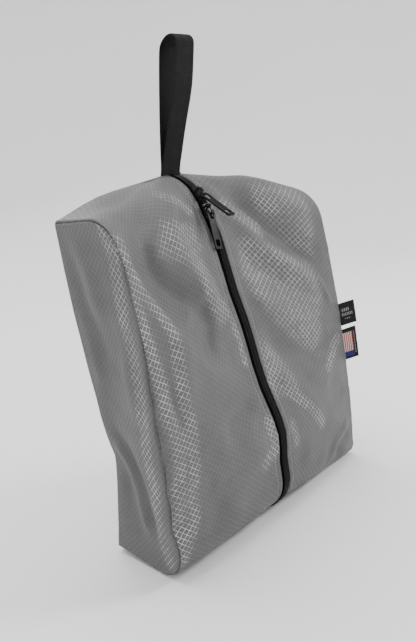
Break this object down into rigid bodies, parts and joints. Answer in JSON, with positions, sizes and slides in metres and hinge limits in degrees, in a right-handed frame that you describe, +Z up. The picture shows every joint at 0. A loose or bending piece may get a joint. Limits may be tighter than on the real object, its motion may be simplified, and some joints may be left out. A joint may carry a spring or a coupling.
{
  "type": "shoe bag",
  "caption": "Boxy zippered shoe bag of thin ripstop fabric with side gussets, a double-slider zipper down the front and over the top, and a webbing carrying loop",
  "frame": {"origin": "on the floor under the middle of the overall box, with the bag standing on its base", "axes": "+X to the right as the zipped front is looked at, -Y out of the front, +Z up"},
  "size_m": [0.3206, 0.1266, 0.5191],
  "materials": {
    "ripstop_fabric": "coated nylon ripstop, soft satin",
    "binding_tape": "matte woven tape",
    "zipper_tape": "matte knitted tape",
    "zipper_coil": "dull nylon coil",
    "slider_metal": "black enamel, worn at its edges",
    "webbing": "ribbed nylon webbing",
    "label_black": "woven label",
    "label_printed": "woven label with plain bands"
  },
  "bodies": {
    "bag": {"body_panel_left": "ripstop_fabric", "body_panel_right": "ripstop_fabric", "gusset_left": "ripstop_fabric", "gusset_right": "ripstop_fabric", "back_panel": "ripstop_fabric", "gusset_binding_left": "binding_tape", "gusset_binding_right": "binding_tape", "back_binding_top_left": "binding_tape", "back_binding_top_right": "binding_tape", "back_binding_bottom_left": "binding_tape", "back_binding_bottom_right": "binding_tape", "label_upper": "label_black", "label_lower": "label_printed", "zipper_tape_left": "zipper_tape", "zipper_tape_right": "zipper_tape", "zipper_coil_left": "zipper_coil", "zipper_coil_right": "zipper_coil", "zipper_stop_top": "zipper_coil", "zipper_stop_bottom": "zipper_coil", "loop_tails": "webbing"},
    "upper_slider": {"upper_slider_body": "slider_metal", "upper_slider_bail": "slider_metal"},
    "upper_pull": {"upper_pull": "slider_metal"},
    "lower_slider": {"lower_slider_body": "slider_metal", "lower_slider_bail": "slider_metal"},
    "lower_pull": {"lower_pull": "slider_metal"},
    "carrying_loop": {"carrying_loop": "webbing"}
  },
  "joints": [
    {"name": "upper_slider_run", "type": "hinge", "parent": "bag", "child": "upper_slider", "pos_m": [-0.00731, 0.06023, 0.31594], "axis": [-1, 0, 0], "range_deg": [0, 26]},
    {"name": "upper_pull_swing", "type": "hinge", "parent": "upper_slider", "child": "upper_pull", "pos_m": [-0.00731, 0.00356, 0.3499], "axis": [-1, 0, 0], "range_deg": [0, 60]},
    {"name": "lower_slider_run", "type": "hinge", "parent": "bag", "child": "lower_slider", "pos_m": [-0.00731, 0.73322, 0.028], "axis": [1, 0, 0], "range_deg": [0, 20.5]},
    {"name": "lower_pull_swing", "type": "hinge", "parent": "lower_slider", "child": "lower_pull", "pos_m": [-0.00731, -0.00342, 0.33489], "axis": [-1, 0, 0], "range_deg": [0, 42]},
    {"name": "carrying_loop_fold", "type": "hinge", "parent": "bag", "child": "carrying_loop", "pos_m": [-0.00731, 0.04812, 0.379], "axis": [1, 0, 0], "range_deg": [-105, 45], "stiffness_Nm_per_rad": 0.03}
  ]
}
